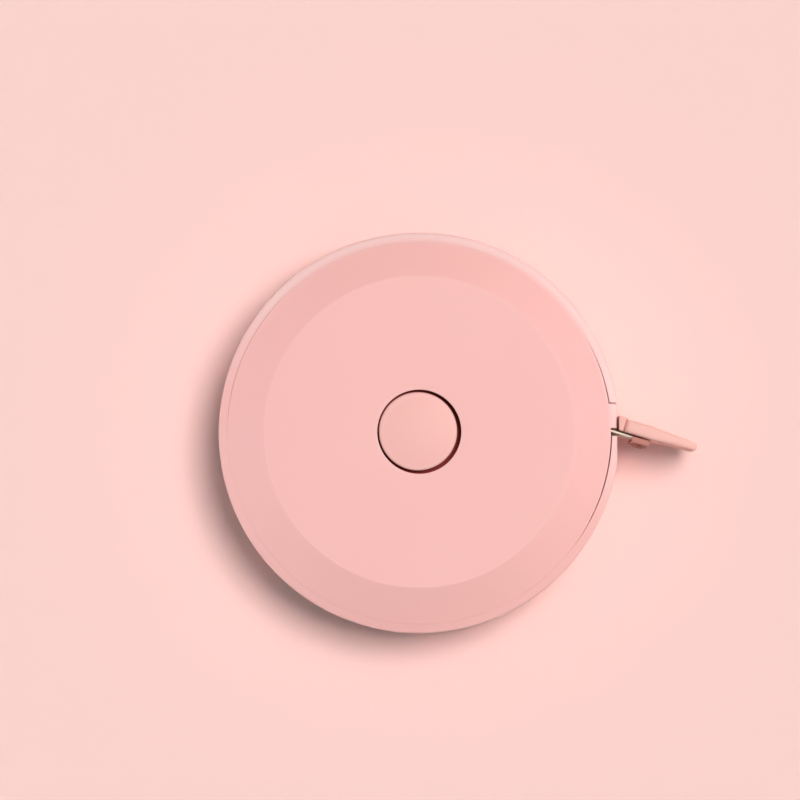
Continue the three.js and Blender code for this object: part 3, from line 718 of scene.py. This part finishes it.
# %% Mouth slot, notch and post slot
NOSE = Vector((24.84, 1.5))
NOSE_RADIUS = 0.9
TAPE_REACH = 1.175
WINDING_OUTER = 21.025
SLOT_LOW = 2.2
SLOT_HIGH = 10.1
SLOT_EDGE = -0.45
SLOT_ENTRY = 1.2
SLOT_DEPTH = 3.515
POST_SLOT_HALF = 0.5
NOTCH_START = 24.34
NOTCH_EDGE = BLOCK_EDGE + 0.2
OUTSIDE = LOWER_RIM + WALL
EXIT_HEADING = math.radians(-17)
LEAD_HEADING = math.atan2(NOSE.y, NOSE.x) - math.asin((WINDING_OUTER + TAPE_REACH) / NOSE.length)


def right_of(heading):
    return polar(1, heading - math.pi / 2)


def prism(name, outline, low, high):
    """A flat outline, listed anticlockwise, raised from one height to another."""
    form = bmesh.new()
    foot = [form.verts.new((point.x * MM, point.y * MM, low * MM)) for point in outline]
    head = [form.verts.new((point.x * MM, point.y * MM, high * MM)) for point in outline]
    form.faces.new(foot[::-1])
    form.faces.new(head)
    for index in range(len(outline)):
        form.faces.new([foot[index - 1], foot[index], head[index], head[index - 1]])
    return new_piece(name, form, case_plastic)


def cut(piece, cutters):
    for cutter in cutters:
        knife = piece.modifiers.new(cutter.name, "BOOLEAN")
        knife.operation = "DIFFERENCE"
        knife.solver = "EXACT"
        knife.object = cutter
    settle(piece)


def slot_outline():
    inwards = right_of(LEAD_HEADING)
    along = polar(1, LEAD_HEADING)
    nose_side = NOSE + inwards * NOSE_RADIUS
    far_side = nose_side + inwards * SLOT_ENTRY
    corner = far_side + along * ((SLOT_EDGE - far_side.y) / along.y)
    bend = []
    for step in range(13):
        heading = LEAD_HEADING * step / 12
        bend.append(NOSE + right_of(heading) * NOSE_RADIUS)
    path = [Vector((OUTSIDE, MOUTH_EDGE)), *bend, nose_side - along * SLOT_DEPTH]
    path += [far_side - along * SLOT_DEPTH, corner, Vector((OUTSIDE, SLOT_EDGE))]
    return path


def radial_bar(angle, start, end, side):
    corners = [(start, -side), (end, -side), (end, side), (start, side)]
    return [Matrix.Rotation(angle, 2) @ Vector(corner) for corner in corners]


winding_exit = right_of(LEAD_HEADING) * -WINDING_OUTER
POST_SLOT_ANGLE = math.atan2(winding_exit.y, winding_exit.x) + math.pi
mouth_slot = prism("mouth_slot", slot_outline(), SLOT_LOW, SLOT_HIGH)
post_bar = radial_bar(POST_SLOT_ANGLE, -POST_FOOT, POST_FOOT, POST_SLOT_HALF)
post_slot = prism("post_slot", post_bar, POST_FOOT_TOP, POST_TOP + 1)
notch_corners = [
    (NOTCH_START, SLOT_EDGE), (OUTSIDE, SLOT_EDGE), (OUTSIDE, NOTCH_EDGE), (NOTCH_START, NOTCH_EDGE),
]
block_notch = prism("block_notch", [Vector(corner) for corner in notch_corners], SEAM, HOLE_RIM)
cut(lower_shell, [mouth_slot, block_notch, post_slot])
cut(upper_shell, [mouth_slot])
for cutter in (mouth_slot, block_notch, post_slot):
    bpy.data.objects.remove(cutter)
for shell, node in ((lower_shell, "bottom_shell"), (upper_shell, "top_shell")):
    smooth(shell)
    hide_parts(node)
    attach(shell, "case")

# %% [markdown]
# ## The push button
# The button is a shallow dome with a softly rounded edge. A lip under the edge of the hole keeps it in
# the case, and a socket below takes the hub of the brake disc. It sits a little to the left in its
# hole, as it does in the photograph.

# %% Push button
BUTTON = 5.06
DOME_TOP = 13.9
DOME_EDGE = 13.35
CAP_UNDER = 11.3
SOCKET_INNER = 4.805
SOCKET_OUTER = 5.455
SOCKET_LOW = 9.6
LIP = 6.175
LIP_LOW = 11.2
LIP_TOP = 12.0
BUTTON_SHIFT = Vector((-0.17, 0.06, 0))
DOME_STEPS = 10


def button_profile(angle):
    dome = []
    for step in range(1, DOME_STEPS):
        share = 1 - step / DOME_STEPS
        dome.append((BUTTON * share, DOME_TOP - (DOME_TOP - DOME_EDGE) * share * share, 0))
    return soften([
        (0, CAP_UNDER, 0), (SOCKET_INNER, CAP_UNDER, 0.1), (SOCKET_INNER, SOCKET_LOW, 0.1),
        (SOCKET_OUTER, SOCKET_LOW, 0.1), (SOCKET_OUTER, LIP_LOW, 0), (LIP, LIP_LOW, 0.1),
        (LIP, LIP_TOP, 0.1), (BUTTON, LIP_TOP, 0.1), (BUTTON, DOME_EDGE, 0.3), *dome, (0, DOME_TOP, 0),
    ])


even_turn = [math.radians(2.5 * step) for step in range(144)]
push_button = turned("push_button", button_profile, even_turn, button_plastic)
push_button.data.transform(Matrix.Translation(BUTTON_SHIFT * MM))
smooth(push_button)
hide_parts("button")
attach(push_button, "button")

# %% [markdown]
# ## Wound strips
# The tape on its reel and the mainspring in the drum are both flat strips that follow a spiral, with a
# short hook at an end. That is a rule, so one Geometry Nodes tool makes both: a spiral curve whose end
# points move to the hooks, swept with the strip's section. The distance along the curve is stored for
# the tape's marks.

# %% Wound strip tool
def new_tool(name, inlets):
    """A node tree for a modifier, with its inputs by name."""
    tree = bpy.data.node_groups.new(name, "GeometryNodeTree")
    tree.interface.new_socket("Geometry", in_out="OUTPUT", socket_type="NodeSocketGeometry")
    for label, kind in inlets.items():
        tree.interface.new_socket(label, in_out="INPUT", socket_type="NodeSocket" + kind)
    bench = Bench(tree)
    first = bench.node("NodeGroupInput")
    return tree, bench, {label: first.output(label) for label in inlets}


def sweep(bench, path, section):
    return bench.node("GeometryNodeCurveToMesh", {}, {
        "Curve": path, "Profile Curve": section, "Fill Caps": True,
    })


def close_tool(bench, geometry, finish):
    real = bench.node("GeometryNodeRealizeInstances", {}, {"Geometry": geometry})
    dressed = bench.node("GeometryNodeSetMaterial", {}, {"Geometry": real, "Material": finish})
    bench.node("NodeGroupOutput", {}, {"Geometry": dressed})


def run_tool(name, tree, values):
    """Run a tool on an empty mesh and keep what it makes as a plain mesh."""
    piece = bpy.data.objects.new(name, bpy.data.meshes.new(name))
    scene.collection.objects.link(piece)
    modifier = piece.modifiers.new(tree.name, "NODES")
    modifier.node_group = tree
    for item in tree.interface.items_tree:
        if item.in_out == "INPUT":
            modifier[item.identifier] = values[item.name]
    settle(piece)
    return piece


strip_tool, bench, size = new_tool("wound_strip", {
    "Turns": "Float", "Inner Radius": "Float", "Outer Radius": "Float", "Start Angle": "Float",
    "Steps": "Int", "Inner Hook": "Vector", "Outer Hook": "Vector", "Thickness": "Float", "Width": "Float",
    "Finish": "Material",
})
coil = bench.node("GeometryNodeCurveSpiral", {}, {
    "Resolution": size["Steps"], "Rotations": size["Turns"], "Start Radius": size["Inner Radius"],
    "End Radius": size["Outer Radius"], "Height": 0.0, "Reverse": False,
})
facing = bench.node("ShaderNodeCombineXYZ", {}, {"Z": size["Start Angle"]})
coil = bench.node("GeometryNodeTransform", {}, {"Geometry": coil, "Rotation": facing})
for start_size, end_size, hook in ((1, 0, "Inner Hook"), (0, 1, "Outer Hook")):
    tip = bench.node("GeometryNodeCurveEndpointSelection", {}, {
        "Start Size": start_size, "End Size": end_size,
    })
    coil = bench.node("GeometryNodeSetPosition", {}, {
        "Geometry": coil, "Selection": tip, "Position": size[hook],
    })
coil = bench.node("GeometryNodeSetCurveNormal", {"mode": "Z_UP"}, {"Curve": coil})
walked = bench.node("GeometryNodeSplineParameter", output="Length")
coil = bench.node("GeometryNodeStoreNamedAttribute", {"data_type": "FLOAT", "domain": "POINT"}, {
    "Geometry": coil, "Name": "run", "Value": walked,
})
section = bench.node("GeometryNodeCurvePrimitiveQuadrilateral", {"mode": "RECTANGLE"}, {
    "Width": size["Thickness"], "Height": size["Width"],
})
close_tool(bench, sweep(bench, coil, section), size["Finish"])
print("tool:", strip_tool.name, "with", len(size), "inputs")

# %% [markdown]
# ## The winding and the mainspring
# Both strips start at their inner end. The tape's inner end is tucked into the hub of the reel. The
# mainspring has one end in the slot of the post and the other in the wall of the drum, so it pulls the
# reel round.

# %% Tape winding and mainspring
WINDING_INNER = 10.975
TAPE_TURNS = 15
TAPE_THICKNESS = 0.25
TUCK_RADIUS = 9.825
SPRING_TURNS = 7.5
SPRING_INNER = 3.775
SPRING_OUTER = 8.675
SPRING_LOW = 2.75
SPRING_HIGH = 6.5
SPRING_THICKNESS = 0.2
POST_HOOK = 2.075
DRUM_HOOK = 9.675
HOOK_ANGLE = POST_SLOT_ANGLE - SPRING_TURNS * 2 * math.pi
TUCK_ANGLE = math.atan2(winding_exit.y, winding_exit.x) + TAPE_TURNS * 2 * math.pi


def rounded(vector):
    return [round(part, 2) for part in vector]


def wind(name, low, high, values, node):
    """Wind a strip between two heights, and put it in the place of a node on the reel."""
    middle = (low + high) / 2
    hooks = {label: polar(*values[label]).to_3d() * MM for label in ("Inner Hook", "Outer Hook")}
    scaled = {label: values[label] * MM for label in ("Inner Radius", "Outer Radius", "Thickness")}
    piece = run_tool(name, strip_tool, {**values, **hooks, **scaled, "Width": (high - low) * MM})
    piece.data.transform(Matrix.Translation((0, 0, middle * MM)))
    smooth(piece)
    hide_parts(node)
    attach(piece, "reel")
    return piece


wound_tape = wind("wound_tape", TAPE_LOW, TAPE_HIGH, {
    "Turns": float(TAPE_TURNS), "Inner Radius": WINDING_INNER, "Outer Radius": WINDING_OUTER,
    "Start Angle": TUCK_ANGLE, "Steps": 120, "Inner Hook": (TUCK_RADIUS, TUCK_ANGLE),
    "Outer Hook": (WINDING_OUTER, TUCK_ANGLE), "Thickness": TAPE_THICKNESS, "Finish": wound_cloth,
}, "tape_winding")
main_spring = wind("main_spring", SPRING_LOW, SPRING_HIGH, {
    "Turns": SPRING_TURNS, "Inner Radius": SPRING_INNER, "Outer Radius": SPRING_OUTER,
    "Start Angle": POST_SLOT_ANGLE, "Steps": 96, "Inner Hook": (POST_HOOK, POST_SLOT_ANGLE),
    "Outer Hook": (DRUM_HOOK, HOOK_ANGLE), "Thickness": SPRING_THICKNESS, "Finish": steel,
}, "mainspring")
for piece in (wound_tape, main_spring):
    corners = [Vector(corner) / MM for corner in piece.bound_box]
    print(piece.name, "from", rounded(corners[0]), "to", rounded(corners[6]))

# %% [markdown]
# ## The button's coil spring
# A coil spring is a wire on a helix. The same spiral curve makes it when both radii are equal and the
# height isn't zero, and a circle is its section. Its foot stands in the post and its head goes down
# with the button, and its curls close up when the button is pressed.

# %% Coil spring
coil_tool, bench, size = new_tool("coil_spring", {
    "Curls": "Float", "Coil Radius": "Float", "Rise": "Float", "Wire Radius": "Float", "Finish": "Material",
})
helix = bench.node("GeometryNodeCurveSpiral", {}, {
    "Resolution": 48, "Rotations": size["Curls"], "Start Radius": size["Coil Radius"],
    "End Radius": size["Coil Radius"], "Height": size["Rise"], "Reverse": True,
})
wire = bench.node("GeometryNodeCurvePrimitiveCircle", {"mode": "RADIUS"}, {
    "Resolution": 14, "Radius": size["Wire Radius"],
})
close_tool(bench, sweep(bench, helix, wire), size["Finish"])

COIL_LOW = 3.725
COIL_HIGH = 8.125
COIL_CURLS = 5.5
COIL_RADIUS = 1.4
WIRE_RADIUS = 0.175
coil_spring = run_tool("coil_spring", coil_tool, {
    "Curls": COIL_CURLS, "Coil Radius": COIL_RADIUS * MM, "Rise": (COIL_HIGH - COIL_LOW) * MM,
    "Wire Radius": WIRE_RADIUS * MM, "Finish": steel,
})
coil_spring.data.transform(Matrix.Translation((0, 0, COIL_LOW * MM)))
smooth(coil_spring)
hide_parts("button_spring")
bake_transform(coil_spring)

# %% [markdown]
# ## The tape from the winding to the tab
# The tape leaves the winding, bends round the nose of the mouth and runs straight into the tab. When
# the tab is pulled, the straight stretch is what grows. It is one strip with many short steps in that
# stretch.

# %% Drawn tape
TAPE_MIDDLE = (TAPE_LOW + TAPE_HIGH) / 2
TAB_START = 1.3683
CLAMP_START = 3.2683
CLAMP_END = 5.5683
STRETCH = (0.05, 1.65)
STRETCH_STEPS = 400
exit_point = NOSE + right_of(EXIT_HEADING) * TAPE_REACH


def drawn_distance(bench, place):
    from_mouth = bench.vector_math("SUBTRACT", place, (exit_point * MM).to_3d())
    return bench.vector_math("DOT_PRODUCT", from_mouth, polar(1, EXIT_HEADING).to_3d(), output="Value")


def loft(name, rings, finish):
    """Join rings of points, in millimetres, into a closed form with flat ends."""
    form = bmesh.new()
    rows = [[form.verts.new(Vector(point) * MM) for point in ring] for ring in rings]
    for row, after in zip(rows, rows[1:]):
        for index in range(len(row)):
            form.faces.new([row[index - 1], row[index], after[index], after[index - 1]])
    form.faces.new(rows[0][::-1])
    form.faces.new(rows[-1])
    bmesh.ops.recalc_face_normals(form, faces=form.faces)
    return new_piece(name, form, finish)


def lead_path():
    """Points of the tape's middle line, each with its heading."""
    path = [(winding_exit + polar(0.3, LEAD_HEADING), LEAD_HEADING)]
    for step in range(25):
        heading = LEAD_HEADING + (EXIT_HEADING - LEAD_HEADING) * step / 24
        path.append((NOSE + right_of(heading) * TAPE_REACH, heading))
    low, high = STRETCH
    runs = [low + (high - low) * step / STRETCH_STEPS for step in range(STRETCH_STEPS + 1)]
    for run in [*runs, 3.0, CLAMP_END]:
        path.append((exit_point + polar(run, EXIT_HEADING), EXIT_HEADING))
    return path


drawn_cloth = tape_cloth("drawn_cloth", drawn_distance)
rings = []
for point, heading in lead_path():
    side = right_of(heading) * TAPE_THICKNESS / 2
    front = point + side
    back = point - side
    rings.append([(*front, TAPE_LOW), (*front, TAPE_HIGH), (*back, TAPE_HIGH), (*back, TAPE_LOW)])
drawn_tape = loft("drawn_tape", rings, drawn_cloth)
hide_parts("tape_lead")
stretch_ends = [Vector((*(exit_point + polar(run, EXIT_HEADING)), TAPE_MIDDLE)) for run in STRETCH]
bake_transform(drawn_tape)
print(drawn_tape.name, "leaves the mouth at", rounded(exit_point))

# %% [markdown]
# ## The pull tab
# The tab is a thin blade that stands on edge. A neck stops it at the mouth, where it lies flat against
# the block, and the blade thins towards a rounded tip. Seen along its length it is a stack of rounded
# rectangles whose height and thickness change, so it is lofted from such rings. It is made in its own
# frame, along x, and then turned to the way out of the mouth.

# %% Pull tab
TAB_LENGTH = 10.4
NECK_LENGTH = 0.6
GRIP_FACE = 0.325
BLADE_HALF = (0.85, 4.5)
NECK_HALF = (0.95, 3.8)
NECK_RINGS = ((0, 0.1), (0.05, 0.03), (0.12, 0), (0.9, 0), (1, 0.08))
TIP_HALF = 0.5
TIP_CORNER = 2.2
ROOT_CORNER = 0.6
CORNER_STEPS = 5
tab_turn = Matrix.Translation((exit_point * MM).to_3d()) @ Matrix.Rotation(EXIT_HEADING, 4, "Z")


def rounded_rectangle(width, height, radius):
    """Half sizes and a corner radius become points, anticlockwise."""
    points = []
    for quarter, (sign_x, sign_y) in enumerate(((1, 1), (-1, 1), (-1, -1), (1, -1))):
        centre = Vector((sign_x * (width - radius), sign_y * (height - radius)))
        for step in range(CORNER_STEPS + 1):
            points.append(centre + polar(radius, (quarter + step / CORNER_STEPS) * math.pi / 2))
    return points


def quarter_round(reach, radius):
    """How far a rounded corner has drawn in, where reach is what is left before its end."""
    return radius - math.sqrt(max(0.0, radius ** 2 - (radius - min(reach, radius)) ** 2))


def blade_ring(station, width, height, edge):
    ring = rounded_rectangle(width, height, min(edge, width * 0.98))
    return [(station, GRIP_FACE + BLADE_HALF[0] + point.x, TAPE_MIDDLE + point.y) for point in ring]


def neck_ring(share, inset):
    """A ring of the neck, from its slanted face at the mouth to the shoulder of the blade."""
    points = []
    for point in rounded_rectangle(NECK_HALF[0] - inset, NECK_HALF[1] - inset, 0.25):
        depth = NECK_HALF[0] + point.x
        face = TAB_START + depth * math.tan(EXIT_HEADING)
        station = face + (TAB_START + NECK_LENGTH - face) * share
        points.append((station, GRIP_FACE + depth, TAPE_MIDDLE + point.y))
    return points


def tab_rings():
    end = TAB_START + TAB_LENGTH
    shoulder = TAB_START + NECK_LENGTH
    root_end = shoulder + ROOT_CORNER
    body_end = end - TIP_CORNER
    rings = [neck_ring(share, inset) for share, inset in NECK_RINGS]
    stations = [shoulder + part for part in (0, 0.03, 0.08, 0.16, 0.28, 0.42, ROOT_CORNER)]
    stations += [root_end + (CLAMP_END - root_end) * step / 8 for step in range(1, 9)]
    stations += [CLAMP_END + (body_end - CLAMP_END) * step / 8 for step in range(1, 9)]
    stations += [end - TIP_CORNER * (1 - math.sin(step * math.pi / 40)) for step in range(1, 20)]
    for station in stations:
        drawn_in = quarter_round(station - shoulder, ROOT_CORNER) + quarter_round(end - station, TIP_CORNER)
        taper = max(0.0, (station - CLAMP_END) / (end - TIP_HALF - CLAMP_END))
        width = BLADE_HALF[0] + (TIP_HALF - BLADE_HALF[0]) * min(taper, 1.0)
        width -= quarter_round(end - station, TIP_HALF) + quarter_round(station - shoulder + 0.05, 0.2)
        rings.append(blade_ring(station, width, BLADE_HALF[1] - drawn_in, 0.45))
    return rings


pull_tab = loft("grip_tab", tab_rings(), tab_plastic)
pull_tab.data.transform(tab_turn)
smooth(pull_tab)
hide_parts("pull_tab")
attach(pull_tab, "tape")

# %% [markdown]
# ## The clamp
# A channel of rose plastic folds over both edges of the tape and holds it against the tab. Its rose is
# deepened as painted shade, for the shade it lies in under the tab. It is its section carried along the
# tape, and a Bevel modifier softens its ends.

# %% Clamp
CLAMP_BACK = -0.675
CLAMP_FACE = -GRIP_FACE
CLAMP_FRONT = 0.125
CLAMP_LOW = 2.1
CLAMP_HIGH = 10.2
CLAMP_LIP = 0.35
channel = soften([
    (CLAMP_BACK, CLAMP_LOW, 0.25), (CLAMP_FRONT, CLAMP_LOW, 0.1),
    (CLAMP_FRONT, CLAMP_LOW + CLAMP_LIP, 0.1), (CLAMP_FACE, CLAMP_LOW + CLAMP_LIP, 0.1),
    (CLAMP_FACE, CLAMP_HIGH - CLAMP_LIP, 0.1), (CLAMP_FRONT, CLAMP_HIGH - CLAMP_LIP, 0.1),
    (CLAMP_FRONT, CLAMP_HIGH, 0.1), (CLAMP_BACK, CLAMP_HIGH, 0.25),
])
clamp_rings = [[(station, *point) for point in channel] for station in (CLAMP_START, CLAMP_END)]
clamp_leaf = loft("clamp_leaf", clamp_rings, clamp_plastic)
edges = clamp_leaf.modifiers.new("soft_edges", "BEVEL")
edges.width = 0.06 * MM
edges.segments = 2
edges.limit_method = "ANGLE"
edges.angle_limit = math.radians(50)
settle(clamp_leaf)
clamp_leaf.data.transform(tab_turn)
smooth(clamp_leaf)
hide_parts("tab_clamp")
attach(clamp_leaf, "tape")

# %% [markdown]
# ## The rivets
# Two rivets go through tab, tape and clamp. The rivet is turned once, and Geometry Nodes sets one on
# each point of a short line, so their number and spacing stay two plain inputs.

# %% Rivets
RIVET_SPACING = 3.6
RIVET_FRONT = -0.775
RIVET_BACK = 2.025
RIVET_HEAD = 0.8
RIVET_SHANK = 0.4
RIVET_STATION = (CLAMP_START + CLAMP_END) / 2


def rivet_profile(angle):
    return soften([
        (0, RIVET_FRONT - 0.2, 0), (0.55, RIVET_FRONT - 0.16, 0.3), (RIVET_HEAD, RIVET_FRONT - 0.02, 0.04),
        (RIVET_HEAD, RIVET_FRONT, 0), (RIVET_SHANK, RIVET_FRONT, 0), (RIVET_SHANK, RIVET_BACK, 0.05),
        (0, RIVET_BACK, 0),
    ])


rivet_tool, bench, size = new_tool("rivet_row", {
    "Rivet": "Object", "Count": "Int", "First": "Vector", "Step": "Vector", "Finish": "Material",
})
row = bench.node("GeometryNodeMeshLine", {"mode": "OFFSET"}, {
    "Count": size["Count"], "Start Location": size["First"], "Offset": size["Step"],
})
shape = bench.node(
    "GeometryNodeObjectInfo", {"transform_space": "ORIGINAL"}, {"Object": size["Rivet"]}, output="Geometry")
set_in = bench.node("GeometryNodeInstanceOnPoints", {}, {"Points": row, "Instance": shape})
close_tool(bench, set_in, size["Finish"])

coarse_turn = [math.radians(10 * step) for step in range(36)]
model_rivet = turned("model_rivet", rivet_profile, coarse_turn, clamp_plastic)
model_rivet.data.transform(Matrix.Rotation(math.radians(-90), 4, "X"))
rivets = run_tool("tab_rivets", rivet_tool, {
    "Rivet": model_rivet, "Count": 2, "Finish": clamp_plastic,
    "First": Vector((RIVET_STATION, 0, TAPE_MIDDLE - RIVET_SPACING / 2)) * MM,
    "Step": Vector((0, 0, RIVET_SPACING)) * MM,
})
bpy.data.objects.remove(model_rivet)
rivets.data.transform(tab_turn)
smooth(rivets)
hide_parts("tab_rivet_upper", "tab_rivet_lower")
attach(rivets, "tape")

# %% [markdown]
# ## The parts that stay as they are
# The reel, its cover, the lid, the key and the brake are plain turned parts inside the case. Their
# shapes are right as they come, so they only get a finish.

# %% Finishes for the frame's own parts
plain_parts = {
    "reel_drum": reel_plastic, "reel_cover": reel_plastic, "spring_lid": reel_plastic,
    "tape_key": reel_plastic, "brake_disc": reel_plastic, "brake_ring": rubber,
}
for node, finish in plain_parts.items():
    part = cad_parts[node]
    part.data.materials.clear()
    part.data.materials.append(finish)
print("finished as they are:", ", ".join(plain_parts))
